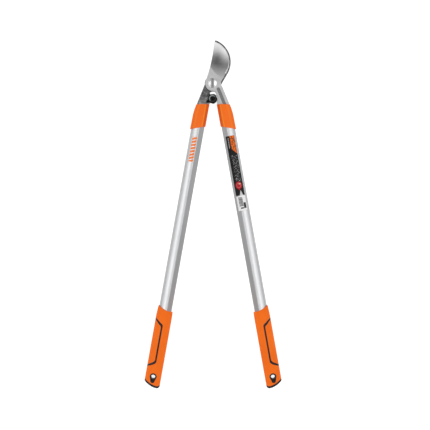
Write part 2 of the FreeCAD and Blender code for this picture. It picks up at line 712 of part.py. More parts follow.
def grip_pieces():
    """Hard core, soft cover and outer panel of one grip."""
    whole = grip_body()
    whole = whole.makeFillet(GRIP_ROUND, end_edges(whole, HANG_S, False))
    bar = tube_bar(TUBE_START_S, TUBE_END_S)
    inner = grip_bar(-GRIP_COVER, GRIP_CORE_START_S).common(whole)
    skin = whole.cut(inner).cut(bar)
    rim = whole.cut(side_cut(grip_ends(GRIP_RIM)))
    rim = rim.common(handle_block(BEYOND, BEYOND, HANG_S))
    panel_area = side_cut(panel_outline(-LINE_WIDTH / 2))
    lined_area = side_cut(panel_outline(LINE_WIDTH / 2))
    pad_area = side_cut(pad_outline())
    pad_faces = handle_block(BEYOND, HANG_FACE)
    panel = skin.common(panel_area)
    line = skin.common(lined_area).cut(panel_area)
    pad = skin.common(pad_area).common(pad_faces)
    core = inner.fuse([line, rim, pad]).removeSplitter()
    core = core.cut(pad_area.cut(pad_faces))
    core = core.cut(through_hole(HANG_RADIUS, HANG_S)).cut(hang_pockets()).cut(bar)
    cover = skin.cut(lined_area).cut(rim).cut(pad_area)
    return core, cover, panel


def printed_label(start, end):
    """Thin printed film over the crest of the tube."""
    wrap = tube_bar(start, end, LABEL_THICK)
    front = Part.makeBox(2 * LABEL_HALF_WIDTH, BEYOND, end - start, Vector(-LABEL_HALF_WIDTH, 0, start))
    return wrap.cut(tube_bar(start, end)).common(front)


def build():
    hook = hook_blade()
    cutter = cutting_blade()
    core, cover, panel = grip_pieces()
    drawn = {
        "tube": tube(),
        "tang_insert": tang_insert(),
        "tang_rivets": tang_rivets(),
        "collar": collar().cut(tube_bar(TUBE_START_S, TUBE_END_S)),
        "grip_core": core,
        "grip_cover": cover,
        "grip_panel": panel,
    }
    nodes = {
        "hook_blade": hook,
        "cutting_blade": cutter,
        "pivot_bolt": pivot_bolt(),
        "pivot_bush": pivot_bush(),
        "pivot_washer": pivot_washer(),
        "pivot_nut": pivot_nut(),
        "bumper": bumper(),
        "bumper_screw": bumper_screw(),
        "bumper_nut": bumper_nut(),
    }
    for name, shape in drawn.items():
        left = to_left(shape)
        right = to_right(shape)
        if name in ("collar", "tang_insert"):
            left = left.cut(hook)
            right = right.cut(cutter)
        nodes["left_" + name] = left
        nodes["right_" + name] = right
    nodes["handle_label"] = to_right(printed_label(LABEL_START_S, LABEL_END_S))
    nodes["code_sticker"] = to_right(printed_label(STICKER_START_S, STICKER_END_S))
    for shape in nodes.values():
        shape.translate(Vector(0, HEAD_Y, 0))
    return nodes


NODES = build()
os.makedirs("parts", exist_ok=True)
for node, solid in NODES.items():
    solid.exportStep("parts/" + node + ".step")
    print(node, len(solid.Solids), round(solid.Volume, 1), solid.isValid())
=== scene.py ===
"""Looks for the bypass loppers: they lie flat on a pale floor, seen from straight above.

Lengths are in metres, and numbers times MM are millimetres. Handle coordinates start level with HEAD, the
head's datum just above the pivot: s runs down a tube, and u runs across it towards the tool's centre line.
The CAD nodes keep their shapes and get procedural materials.
"""

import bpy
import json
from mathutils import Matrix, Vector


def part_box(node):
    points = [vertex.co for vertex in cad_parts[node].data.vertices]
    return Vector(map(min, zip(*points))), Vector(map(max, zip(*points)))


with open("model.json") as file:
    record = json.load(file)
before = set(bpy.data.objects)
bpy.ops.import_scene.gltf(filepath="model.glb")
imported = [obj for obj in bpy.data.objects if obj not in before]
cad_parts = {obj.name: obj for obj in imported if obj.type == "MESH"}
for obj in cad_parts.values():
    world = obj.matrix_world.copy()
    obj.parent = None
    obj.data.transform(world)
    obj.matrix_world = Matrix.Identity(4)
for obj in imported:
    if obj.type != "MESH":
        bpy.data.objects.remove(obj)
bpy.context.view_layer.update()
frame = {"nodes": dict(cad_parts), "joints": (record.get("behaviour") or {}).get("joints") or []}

import json
import math

import bpy
from mathutils import Vector

MM = 0.001
LEFT = -1
RIGHT = 1
NODES = frame["nodes"]
PIVOT = Vector(frame["joints"][0]["pos_m"])
DATUM_ABOVE_PIVOT = 0.0010
HEAD = Vector((0.0, PIVOT.y + DATUM_ABOVE_PIVOT, PIVOT.z))
SPLAY = math.radians(10.15)     # lean of each tube from the centre line
SPREAD = 0.0163                 # distance of each tube's axis from the centre line, level with the datum


# ---- Camera: far above, looking straight down ----
PHOTO_WIDTH = 0.979
PHOTO_CENTRE = (0.0044, HEAD.y - 0.3015)
LENS = 135.0
SENSOR = 36.0
camera_data = bpy.data.cameras.new("camera")
camera_data.lens = LENS
camera_data.sensor_width = SENSOR
camera = bpy.data.objects.new("camera", camera_data)
camera.location = (PHOTO_CENTRE[0], PHOTO_CENTRE[1], PIVOT.z + PHOTO_WIDTH * LENS / SENSOR)
bpy.context.scene.collection.objects.link(camera)
bpy.context.scene.camera = camera


# ---- Building materials ----
def grey(level):
    return (level, level, level)


def fill_ramp(node, stops):
    """Set a colour ramp's stops from (position, colour) pairs."""
    elements = node.color_ramp.elements
    while len(elements) < len(stops):
        elements.new(1.0)
    for element, (position, colour) in zip(elements, stops):
        element.position = position
        element.color = (*colour, 1.0)


class Paint:
    """A material being made: one Principled shader and short ways to add nodes round it."""

    def __init__(self, name, colour, metallic=0.0, roughness=0.5, **sockets):
        self.material = bpy.data.materials.new(name)
        self.material.use_nodes = True
        self.tree = self.material.node_tree
        self.tree.nodes.clear()
        out = self.tree.nodes.new("ShaderNodeOutputMaterial")
        self.shader = self.tree.nodes.new("ShaderNodeBsdfPrincipled")
        self.tree.links.new(self.shader.outputs["BSDF"], out.inputs["Surface"])
        self.set("Base Color", colour)
        self.set("Metallic", metallic)
        self.set("Roughness", roughness)
        for socket, value in sockets.items():
            self.set(socket.replace("_", " "), value)
        self.place = self.tree.nodes.new("ShaderNodeTexCoord").outputs["Object"]

    def plug(self, socket, value):
        """Link a socket to another node's output, or give it a number or colour."""
        if isinstance(value, bpy.types.NodeSocket):
            self.tree.links.new(value, socket)
        elif socket.type == "RGBA" and len(value) == 3:
            socket.default_value = (*value, 1.0)
        else:
            socket.default_value = value

    def set(self, name, value):
        self.plug(self.shader.inputs[name], value)

    def colour_so_far(self):
        return self.shader.inputs["Base Color"].links[0].from_socket

    def math(self, operation, a, b=0.0):
        node = self.tree.nodes.new("ShaderNodeMath")
        node.operation = operation
        for socket, value in zip(node.inputs, (a, b)):
            self.plug(socket, value)
        return node.outputs[0]

    def add(self, a, b):
        return self.math("ADD", a, b)

    def minus(self, a, b):
        return self.math("SUBTRACT", a, b)

    def times(self, a, b):
        return self.math("MULTIPLY", a, b)

    def over(self, a, b):
        return self.math("DIVIDE", a, b)

    def size(self, a):
        return self.math("ABSOLUTE", a)

    def larger(self, a, b):
        return self.math("MAXIMUM", a, b)

    def is_less(self, a, b):
        return self.math("LESS_THAN", a, b)

    def is_more(self, a, b):
        return self.math("GREATER_THAN", a, b)

    def shares(self, a, share_a, b, share_b):
        """Weighted sum of two values."""
        return self.add(self.times(a, share_a), self.times(b, share_b))

    def distance(self, a, b):
        return self.math("SQRT", self.add(self.math("POWER", a, 2.0), self.math("POWER", b, 2.0)))

    def blend(self, factor, a, b):
        """Colour going from a to b as the factor goes from 0 to 1."""
        node = self.tree.nodes.new("ShaderNodeMix")
        node.data_type = "RGBA"
        self.plug(node.inputs["Factor"], factor)
        self.plug(node.inputs[6], a)
        self.plug(node.inputs[7], b)
        return node.outputs[2]

    def between(self, value, low, high, to_low=0.0, to_high=1.0):
        """Value going from to_low to to_high, smoothly, as the input goes from low to high."""
        node = self.tree.nodes.new("ShaderNodeMapRange")
        node.interpolation_type = "SMOOTHSTEP"
        for socket, number in zip(node.inputs, (value, low, high, to_low, to_high)):
            self.plug(socket, number)
        return node.outputs[0]

    def below(self, value, low, high):
        """1 while the input is below low, fading to 0 at high."""
        return self.between(value, low, high, 1.0, 0.0)

    def ramp(self, factor, *stops):
        node = self.tree.nodes.new("ShaderNodeValToRGB")
        fill_ramp(node, stops)
        self.plug(node.inputs[0], factor)
        return node.outputs["Color"]

    def stretched(self, scale, turn=0.0):
        """Object coordinates turned about Z and scaled, so a texture can run along a part."""
        node = self.tree.nodes.new("ShaderNodeMapping")
        node.vector_type = "TEXTURE"
        node.inputs["Rotation"].default_value = (0.0, 0.0, turn)
        node.inputs["Scale"].default_value = tuple(1.0 / part for part in scale)
        self.plug(node.inputs["Vector"], self.place)
        return node.outputs[0]

    def noise(self, scale, detail=3.0, roughness=0.5, place=None):
        node = self.tree.nodes.new("ShaderNodeTexNoise")
        node.inputs["Scale"].default_value = scale
        node.inputs["Detail"].default_value = detail
        node.inputs["Roughness"].default_value = roughness
        self.plug(node.inputs["Vector"], place or self.place)
        return node.outputs["Fac"]

    def streaks(self, scale, turn, detail=3.0, roughness=0.5):
        """Noise with its own scale along each axis, turned about Z."""
        return self.noise(1.0, detail, roughness, self.stretched(scale, turn))

    def cells(self, scale):
        node = self.tree.nodes.new("ShaderNodeTexVoronoi")
        node.inputs["Scale"].default_value = scale
        self.plug(node.inputs["Vector"], self.place)
        return node.outputs["Distance"]

    def split(self, vector):
        node = self.tree.nodes.new("ShaderNodeSeparateXYZ")
        self.plug(node.inputs[0], vector)
        return node.outputs

    def normal_z(self):
        """Z of the surface's own normal, in the frame of the part."""
        node = self.tree.nodes.new("ShaderNodeTexCoord")
        return self.split(node.outputs["Normal"])[2]

    def bump(self, *layers):
        """Stack of (height, depth in metres) bumps."""
        normal = None
        for height, depth in layers:
            node = self.tree.nodes.new("ShaderNodeBump")
            node.inputs["Strength"].default_value = 1.0
            node.inputs["Distance"].default_value = depth
            self.plug(node.inputs["Height"], height)
            if normal is not None:
                self.plug(node.inputs["Normal"], normal)
            normal = node.outputs[0]
        self.set("Normal", normal)

    def box_mask(self, across, along, centre, half, soft):
        """1 inside a rectangle of (across, along), 0 outside, with edges 2 * soft wide."""
        mask = None
        for value, middle, reach in ((across, centre[0], half[0]), (along, centre[1], half[1])):
            inside = self.below(self.size(self.minus(value, middle)), reach - soft, reach + soft)
            mask = inside if mask is None else self.times(mask, inside)
        return mask

    def handle_coordinates(self, side):
        """(u, s, height) of the LEFT or RIGHT handle."""
        x, y, z = self.split(self.place)
        across = self.minus(self.times(x, side), SPREAD)
        down = self.minus(HEAD.y, y)
        s = self.add(self.times(across, math.sin(SPLAY)), self.times(down, math.cos(SPLAY)))
        u = self.minus(self.times(down, math.sin(SPLAY)), self.times(across, math.cos(SPLAY)))
        return u, s, z

    def print_coordinates(self):
        """(u, s) of the right handle in millimetres, for laying out print."""
        u, s, _ = self.handle_coordinates(RIGHT)
        return self.over(u, MM), self.over(s, MM)


# ---- Tubes ----
DRAW_LINES = (5200.0, 26.0, 5200.0)
SCUFFS = (900.0, 90.0, 900.0)
SCUFF_TURN = 0.6
TUBE_TONES = ((0.40, (0.60, 0.605, 0.615)), (0.60, (0.69, 0.695, 0.70)))
# Painted shade: the grey below darkens each tube's inner facet and both of its sides.
TUBE_PAINTED_SHADE = (0.10, 0.10, 0.105)
FACET_U = (2 * MM, 7 * MM)              # where the painted shade on the inner facet begins and is full
FACET_FADE_S = (150 * MM, 480 * MM)     # the facet's painted shade grows darker down this length
FACET_PAINTED_SHADE = (0.16, 0.34)
RIM_U = (11.5 * MM, 14.5 * MM)
RIM_PAINTED_SHADE = 0.45

MARK_S = (125.5 * MM, 183.5 * MM)
MARK_U = -2.6 * MM
MARK_HALF_WIDTH = 5.3 * MM
MARK_SLANT = 0.35
MARK_PITCH = 7.4 * MM
MARK_BAR = (0.33, 0.36)                 # half of a bar's share of the pitch, and where its soft edge ends
MARK_INK = (0.93, 0.20, 0.02)


def satin_aluminium(side):
    """Anodised tube: fine draw lines along it, faint cloudiness, small scuffs, and painted shade darkening
    its inner facet and both sides.
    """
    paint = Paint("satin_aluminium", grey(0.80), metallic=1.0, roughness=0.4)
    turn = side * SPLAY
    lines = paint.streaks(DRAW_LINES, turn, detail=2.0, roughness=0.6)
    cloud = paint.noise(34.0)
    tone = paint.add(paint.shares(lines, 0.10, cloud, 0.06), 0.42)
    colour = paint.ramp(tone, *TUBE_TONES)
    u, s, _ = paint.handle_coordinates(side)
    # painted shade on the inner facet, growing down the tube, and on both sides
    along = paint.between(s, *FACET_FADE_S, *FACET_PAINTED_SHADE)
    facet_painted_shade = paint.times(paint.between(u, *FACET_U), along)
    rim_painted_shade = paint.between(paint.size(u), *RIM_U, 0.0, RIM_PAINTED_SHADE)
    paint.set("Base Color", paint.blend(paint.larger(facet_painted_shade, rim_painted_shade), colour, TUBE_PAINTED_SHADE))
    scuffs = paint.streaks(SCUFFS, turn + SCUFF_TURN, detail=5.0, roughness=0.7)
    scuff_mask = paint.between(scuffs, 0.66, 0.74)
    roughness = paint.add(paint.times(lines, 0.12), 0.34)
    paint.set("Roughness", paint.add(roughness, paint.times(scuff_mask, 0.12)))
    paint.bump((lines, 0.012 * MM))
    return paint


def marked_aluminium():
    """The left tube carries a generic printed mark: a column of slanted orange bars."""
    paint = satin_aluminium(LEFT)
    base = paint.colour_so_far()
    u, s, z = paint.handle_coordinates(LEFT)
    start, end = MARK_S
    middle = (MARK_U, (start + end) / 2)
    column = paint.box_mask(u, s, middle, (MARK_HALF_WIDTH, (end - start) / 2), 0.1 * MM)
    slanted = paint.add(s, paint.times(u, MARK_SLANT))
    phase = paint.math("FRACT", paint.over(paint.minus(slanted, start), MARK_PITCH))
    bar = paint.below(paint.size(paint.minus(phase, 0.5)), *MARK_BAR)
    front = paint.between(z, HEAD.z, HEAD.z + 1 * MM)
    ink = paint.times(paint.times(column, bar), front)
    paint.set("Base Color", paint.blend(ink, base, MARK_INK))
    paint.set("Metallic", paint.minus(1.0, ink))
    return paint


# ---- Cutting blade: places in millimetres from HEAD, heights from the floor ----
BLADE_TOP = 18.2
HOLLOW_DEPTH = (0.06, 0.01)
GROOVE_DEPTH = (0.9, 0.4)
JAW_START_Y = (6.0, 9.0)
GROOVE_START_Y = (-10.0, -7.0)
HOLLOW_NORMAL = (0.90, 0.96)
BEVEL_NORMAL = (0.35, 0.45)
BEVEL_NORMAL_END = (0.80, 0.90)
SATIN_TONES = ((0.36, grey(0.50)), (0.64, grey(0.62)))
FORGED_TONES = ((0.35, grey(0.17)), (0.68, grey(0.32)))
BRIGHT = grey(0.85)
HOLLOW_SWEEP = 100.0                    # the painted light and shade tones below run over this length, from the datum to the tip
HOLLOW_LEAN = 0.10
# Painted reflection: dark to bright tones along the hollow stand in for the lights reflected in it.
HOLLOW_PAINTED_LIGHT_TONES = (
    (0.15, grey(0.53)),
    (0.25, grey(0.39)),
    (0.36, grey(0.22)),
    (0.44, grey(0.115)),
    (0.49, grey(0.115)),
    (0.56, grey(0.15)),
    (0.63, grey(0.28)),
    (0.79, grey(0.70)),
    (0.90, grey(0.90)),
)
# Painted highlights on the hollow towards its tip, its cutting edge and its spine side.
HOLLOW_PAINTED_HIGHLIGHT = grey(0.95)
GLARE_TIP_Y = (34.0, 74.0)
GLARE_TIP = (0.12, 1.0)
GLARE_EDGE_X = (9.0, 34.0)
GLARE_SPINE_X = (-5.0, 9.0)
GLARE_SPINE_Y = (24.0, 40.0)
GLARE_SPINE = 0.08
SATIN_TIP_Y = (58.0, 84.0)
SATIN_TIP_ROUGHNESS = (-0.10, 0.16)


def ground_steel():
    """Cutting blade: matt neck, polished hollow with grinding arcs, painted light and shade running along the
    hollow with painted highlights, bright bevel and a dark forged groove.
    """
    paint = Paint("ground_steel", grey(0.7), metallic=1.0, roughness=0.4)
    x, y, z = paint.split(paint.place)
    x = paint.over(x, MM)
    y = paint.over(paint.minus(y, HEAD.y), MM)
    z = paint.over(z, MM)
    nz = paint.normal_z()
    jaw = paint.between(y, *JAW_START_Y)
    sunk = paint.below(z, *(BLADE_TOP - depth for depth in HOLLOW_DEPTH))
    hollow = paint.times(paint.times(sunk, jaw), paint.between(nz, *HOLLOW_NORMAL))
    sloped = paint.times(paint.between(nz, *BEVEL_NORMAL), paint.below(nz, *BEVEL_NORMAL_END))
    bevel = paint.times(sloped, jaw)
    deep = paint.below(z, *(BLADE_TOP - depth for depth in GROOVE_DEPTH))
    groove = paint.times(deep, paint.below(y, *GROOVE_START_Y))

    grain = paint.streaks((2600.0, 220.0, 2600.0), math.radians(20), roughness=0.6)
    speckle = paint.noise(520.0, detail=4.0, roughness=0.65)
    cloud = paint.noise(90.0, detail=2.0)
    satin = paint.ramp(paint.shares(speckle, 0.55, cloud, 0.45), *SATIN_TONES)

    # painted reflection and shade along the hollow, then painted highlights near the tip, edge and spine
    sweep = paint.add(y, paint.times(x, HOLLOW_LEAN))
    tone = paint.ramp(paint.over(sweep, HOLLOW_SWEEP), *HOLLOW_PAINTED_LIGHT_TONES)
    toward_tip = paint.between(y, *GLARE_TIP_Y, *GLARE_TIP)
    toward_edge = paint.times(paint.between(x, *GLARE_EDGE_X), toward_tip)
    spine_side = paint.between(x, *GLARE_SPINE_X, GLARE_SPINE, 0.0)
    toward_spine = paint.times(spine_side, paint.between(y, *GLARE_SPINE_Y))
    tone = paint.blend(paint.larger(toward_edge, toward_spine), tone, HOLLOW_PAINTED_HIGHLIGHT)
    arcs = paint.streaks((1500.0, 60.0, 1500.0), math.radians(-62), roughness=0.55)
    polished = paint.blend(paint.between(arcs, 0.35, 0.75, 0.0, 0.12), tone, BRIGHT)

    forged = paint.ramp(paint.noise(420.0, detail=4.0, roughness=0.6), *FORGED_TONES)
    colour = paint.blend(hollow, satin, polished)
    colour = paint.blend(bevel, colour, BRIGHT)
    colour = paint.blend(groove, colour, forged)
    paint.set("Base Color", colour)
    satin_tip = paint.times(hollow, paint.between(y, *SATIN_TIP_Y, *SATIN_TIP_ROUGHNESS))
    rough = paint.add(satin_tip, paint.times(speckle, 0.12))
    rough = paint.add(rough, paint.times(groove, 0.15))
    paint.set("Roughness", paint.add(rough, 0.38))
    paint.bump((speckle, 0.02 * MM), (grain, 0.01 * MM), (arcs, 0.008 * MM))
    return paint


# ---- Hook blade, bolt and the small metal parts ----
PHOSPHATE_TONES = ((0.40, grey(0.07)), (0.54, grey(0.15)), (0.66, grey(0.34)), (0.80, grey(0.50)))
# Painted reflection over the tang near its collar, and sloped edges lightened as wear and painted highlight:
PAINTED_REFLECTION_BELOW = (26 * MM, 48 * MM)
WEAR_AND_HIGHLIGHT_BELOW = (-4 * MM, 4 * MM)
WEAR_AND_HIGHLIGHT_NORMAL = (0.5, 0.65)
WEAR_AND_HIGHLIGHT_NORMAL_END = (0.78, 0.92)
BOLT_RIM_REACH = (5.5 * MM, 8.6 * MM)
BOLT_SHADE_SHIFT = 1.3 * MM               # the painted shade ring sits this far off the bolt's own centre, darkening the left side of the crown more


def forged_steel():
    """Hook blade: dark phosphate over a forging, mottled, lightened towards its collar by a painted
    reflection, and its sloped edges lightened as wear and painted highlight.
    """
    paint = Paint("forged_steel", grey(0.14), metallic=0.85, roughness=0.5)
    _, y, _ = paint.split(paint.place)
    nz = paint.normal_z()
    blotch = paint.noise(150.0, roughness=0.6)
    fine = paint.noise(620.0, roughness=0.6)
    mix = paint.shares(blotch, 0.7, fine, 0.3)
    under_head = paint.minus(HEAD.y, y)
    # painted reflection: the tang is lightened towards its collar, where its bend catches the light
    painted_reflection = paint.between(under_head, *PAINTED_REFLECTION_BELOW, 0.0, 0.10)
    colour = paint.ramp(paint.add(mix, painted_reflection), *PHOSPHATE_TONES)
    # sloped edges below the head are lightened, part wear and part painted highlight
    tilt = paint.size(nz)
    edge = paint.times(paint.between(tilt, *WEAR_AND_HIGHLIGHT_NORMAL), paint.below(tilt, *WEAR_AND_HIGHLIGHT_NORMAL_END))
    worn = paint.times(edge, paint.between(blotch, 0.42, 0.6, 0.15, 0.7))
    worn = paint.times(worn, paint.between(under_head, *WEAR_AND_HIGHLIGHT_BELOW))
    paint.set("Base Color", paint.blend(worn, colour, grey(0.40)))
    paint.set("Roughness", paint.between(mix, 0.3, 0.7, 0.58, 0.40))
    paint.bump((blotch, 0.10 * MM), (fine, 0.05 * MM))
    return paint


def polished_steel():
    """Bolt: polished crown with a rougher rim, painted darker as shade on a ring set off-centre so the
    crown's left highlight is dimmer.
    """
    paint = Paint("polished_steel", grey(0.82), metallic=1.0, roughness=0.1)
    x, y, _ = paint.split(paint.place)
    across = paint.minus(x, PIVOT.x)
    along = paint.minus(y, PIVOT.y)
    # painted shade: the darker rim ring sits off-centre to dim the crown's left highlight
    off_centre = paint.minus(across, BOLT_SHADE_SHIFT)
    rim = paint.between(paint.distance(off_centre, along), *BOLT_RIM_REACH)
    swirl = paint.streaks((700.0, 120.0, 700.0), 0.4, detail=4.0, roughness=0.6)
    crown = paint.ramp(swirl, (0.35, grey(0.66)), (0.65, grey(0.78)))
    paint.set("Base Color", paint.blend(rim, crown, grey(0.46)))
    polish = paint.between(swirl, 0.35, 0.7, 0.08, 0.17)
    paint.set("Roughness", paint.add(polish, paint.times(rim, 0.16)))
    paint.bump((swirl, 0.004 * MM))
    return paint


def zinc_steel():
    """Nuts and washer: zinc plate with a faint yellow bloom."""
    paint = Paint("zinc_steel", grey(0.6), metallic=1.0, roughness=0.32)
    bloom = paint.noise(260.0, detail=4.0, roughness=0.6)
    paint.set("Base Color", paint.ramp(bloom, (0.35, (0.50, 0.51, 0.50)), (0.65, (0.70, 0.69, 0.64))))
    paint.set("Roughness", paint.between(bloom, 0.3, 0.7, 0.26, 0.42))
    paint.bump((bloom, 0.02 * MM))
    return paint


def turned_bronze():
    """Pivot bush: bronze with slight tarnish."""
    paint = Paint("bronze", (0.5, 0.33, 0.15), metallic=1.0, roughness=0.3)
    tarnish = paint.noise(300.0)
    paint.set("Base Color", paint.ramp(tarnish, (0.3, (0.42, 0.26, 0.11)), (0.7, (0.60, 0.42, 0.20))))
    paint.bump((tarnish, 0.01 * MM))
    return paint


def rivet_aluminium():
    """Rivets: plain aluminium with small marks."""
    paint = Paint("rivet_aluminium", grey(0.66), metallic=1.0, roughness=0.4)
    marks = paint.noise(800.0)
    paint.set("Base Color", paint.ramp(marks, (0.3, grey(0.58)), (0.7, grey(0.74))))
    paint.bump((marks, 0.01 * MM))
    return paint


def black_steel():
    """Bumper screw: black oxide."""
    paint = Paint("black_steel", grey(0.01), metallic=0.5, roughness=0.42, Specular_IOR_Level=0.2)
    oxide = paint.noise(500.0)
    paint.set("Base Color", paint.ramp(oxide, (0.35, grey(0.004)), (0.7, grey(0.015))))
    paint.bump((oxide, 0.02 * MM))
    return paint


# ---- Plastics and rubbers ----
# Painted shade on the collar's inner side, and painted highlights along its crease and outer shoulder:
COLLAR_PAINTED_SHADE = (0.50, 0.030, 0.002)
COLLAR_PAINTED_HIGHLIGHT = (1.0, 0.30, 0.03)
COLLAR_SHADE_U = (10.0 * MM, 11.5 * MM)
COLLAR_SHADE_NORMAL = (0.62, 0.86)
COLLAR_SHADE_SHARE = 0.5
COLLAR_SHOULDER_NORMAL = (0.84, 0.90)
COLLAR_SHOULDER_END = (0.93, 0.96)
COLLAR_SHOULDER_SHARE = 0.25
COLLAR_CREASE_U = 9.2 * MM
COLLAR_CREASE_HALF = (0.7 * MM, 1.8 * MM)
COLLAR_CREASE_SHARE = 0.75

# Painted highlight on the bumper's lip:
WELL_LIP_INNER = (5.2 * MM, 5.8 * MM)
WELL_LIP_OUTER = (7.8 * MM, 8.6 * MM)
WELL_LIP_HIGHLIGHT_TURN = (-7 * MM, 5 * MM)       # the painted highlight fades across the lip, from upper left to lower right
WELL_LIP_HIGHLIGHT = (0.30, 0.32, 0.32)


def moulded(name, dark, light, roughness, grain_size, grain_depth, **sockets):
    """Moulded plastic or rubber: a fine sparked grain, slow colour drift and small rubbed patches."""
    paint = Paint(name, light, roughness=roughness, **sockets)
    drift = paint.noise(22.0)
    grain = paint.noise(grain_size, detail=2.0, roughness=0.6)
    pits = paint.cells(grain_size * 0.8)
    paint.set("Base Color", paint.ramp(drift, (0.3, dark), (0.7, light)))
    rubbed = paint.between(paint.noise(60.0, detail=4.0, roughness=0.65), 0.60, 0.72)
    rough = paint.add(paint.times(grain, 0.1), roughness - 0.05)
    paint.set("Roughness", paint.minus(rough, paint.times(rubbed, 0.07)))
    paint.bump((grain, grain_depth), (pits, grain_depth))
    return paint


def orange_plastic(side):
    """Collar: painted shade in deeper orange down its inner side, painted highlights in lighter orange along
    the crease and the outer shoulder.
    """
    paint = moulded("orange_plastic", (0.93, 0.150, 0.002), (0.98, 0.168, 0.004), 0.46, 1500.0, 0.02 * MM,
                    Specular_IOR_Level=0.25)
    base = paint.colour_so_far()
    nz = paint.normal_z()
    u, _, _ = paint.handle_coordinates(side)
    # painted shade: deeper orange down the inner side
    inner_side = paint.between(u, *COLLAR_SHADE_U)
    deep = paint.times(paint.between(nz, *COLLAR_SHADE_NORMAL, COLLAR_SHADE_SHARE, 0.0), inner_side)
    colour = paint.blend(deep, base, COLLAR_PAINTED_SHADE)
    # painted highlights along the outer shoulder and along the crease
    shoulder = paint.times(paint.between(nz, *COLLAR_SHOULDER_NORMAL),
                           paint.between(nz, *COLLAR_SHOULDER_END, COLLAR_SHOULDER_SHARE, 0.0))
    from_crease = paint.size(paint.minus(u, COLLAR_CREASE_U))
    crease = paint.between(from_crease, *COLLAR_CREASE_HALF, COLLAR_CREASE_SHARE, 0.0)
    paint.set("Base Color", paint.blend(paint.larger(shoulder, crease), colour, COLLAR_PAINTED_HIGHLIGHT))
    return paint


def orange_rubber():
    return moulded("orange_rubber", (0.93, 0.154, 0.002), (0.98, 0.170, 0.004), 0.62, 1100.0, 0.04 * MM,
                   Specular_IOR_Level=0.22)


def black_plastic():
    return moulded("black_plastic", grey(0.006), (0.010, 0.010, 0.012), 0.5, 1300.0, 0.03 * MM,
                   Specular_IOR_Level=0.3)


def black_rubber():
    """Bumper: black, with a painted grey highlight on the lip round its well, strongest at the upper left."""
    paint = moulded("black_rubber", grey(0.003), grey(0.006), 0.5, 900.0, 0.05 * MM, Specular_IOR_Level=0.1)
    low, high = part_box("bumper_screw")
    x, y, _ = paint.split(paint.place)
    across = paint.minus(x, (low[0] + high[0]) / 2)
    along = paint.minus(y, (low[1] + high[1]) / 2)
    reach = paint.distance(across, along)
    lip = paint.times(paint.between(reach, *WELL_LIP_INNER), paint.below(reach, *WELL_LIP_OUTER))
    turned = paint.between(paint.minus(across, along), *WELL_LIP_HIGHLIGHT_TURN, 1.0, 0.12)
    patchy = paint.between(paint.noise(500.0), 0.3, 0.6, 0.5, 1.0)
    # rubbed here is the painted highlight on the lip, broken up by noise
    rubbed = paint.times(paint.times(lip, turned), patchy)
    paint.set("Base Color", paint.blend(rubbed, paint.colour_so_far(), WELL_LIP_HIGHLIGHT))
    return paint


def black_nylon():
    return moulded("black_nylon", grey(0.012), grey(0.025), 0.5, 1000.0, 0.03 * MM)


# ---- Printed films: places in millimetres of (u, s) on the right tube ----
FILM_BLACK = ((0.3, grey(0.004)), (0.7, grey(0.010)))
FILM_GREY = grey(0.62)
FLAG_ORANGE = (0.96, 0.17, 0.01)
FLAG_BLOT = (0.16, 0.04, 0.01)
FLAG_END_S = 155.0
FLAG_END_SLOPE = 1.15
FLAG_EDGE_U = 1.3
COLUMN_SHIFT = 0.6
COLUMN_PITCH = 1.6
COLUMN_WIDTH = 0.85
SMALL_PRINT = ((-0.9, 199.0), (6.2, 31.0))      # centre and half size of each block of print
SIDE_PRINT = ((5.2, 140.0), (1.3, 12.0))
PRINT_SOFT = 0.1
BADGE_CENTRE = (-0.1, 237.8)
BADGE_HALF = (7.3, 8.6)
BADGE_TAIL_SLOPE = 2.4
BADGE_TAIL_START = 5.0
BADGE_TAIL_END = 12.5
BADGE_RED = (0.44, 0.010, 0.020)
BADGE_RING = ((0.62, 0.0), (0.09, 8.0))
BADGE_RING_SOFT = 0.03
BADGE_RING_PINK = (0.75, 0.30, 0.28)
BADGE_GLINT = ((-2.6, -3.2), (2.2, 1.4))
BADGE_GLINT_SOFT = 0.5
BADGE_GLINT_PALE = (0.85, 0.60, 0.45)
NOTCH_U = -2.4
NOTCH_SLOPE = 3.2
NOTCH_POINT_S = 249.0
PAPER_WHITE = ((0.3, grey(0.84)), (0.7, grey(0.92)))
CODE_BARS = ((1.6, 275.5), (4.6, 10.5))
CODE_PATCH = ((-6.2, 284.5), (2.6, 6.5))
CODE_RULE = ((0.6, 290.0), (3.4, 1.6))
CODE_SOFT = 0.3


def flag_print(paint, u, s, film):
    """Orange corner at the film's upper end, blotted like worn print."""
    flag_end = paint.minus(FLAG_END_S, paint.times(u, FLAG_END_SLOPE))
    flag = paint.times(paint.is_less(s, flag_end), paint.is_less(u, FLAG_EDGE_U))
    blots = paint.streaks((420.0, 300.0, 1.0), SPLAY, detail=1.0)
    blotted = paint.between(blots, 0.46, 0.56, 0.0, 0.90)
    return paint.blend(flag, film, paint.blend(blotted, FLAG_ORANGE, FLAG_BLOT))


def column_print(paint, u, s, film):
    """Columns of unreadable light strokes, and a bolder line beside the flag."""
    columns = paint.math("PINGPONG", paint.add(u, COLUMN_SHIFT), COLUMN_PITCH)
    in_column = paint.is_less(columns, COLUMN_WIDTH)
    strokes = paint.streaks((760.0, 380.0, 1.0), SPLAY, detail=1.0)
    body = paint.times(paint.box_mask(u, s, *SMALL_PRINT, PRINT_SOFT), in_column)
    corner = paint.box_mask(u, s, *SIDE_PRINT, PRINT_SOFT)
    small_print = paint.times(body, paint.between(strokes, 0.56, 0.60, 0.0, 0.80))
    side_print = paint.times(corner, paint.between(strokes, 0.44, 0.48, 0.0, 0.55))
    return paint.blend(paint.larger(small_print, side_print), film, FILM_GREY)


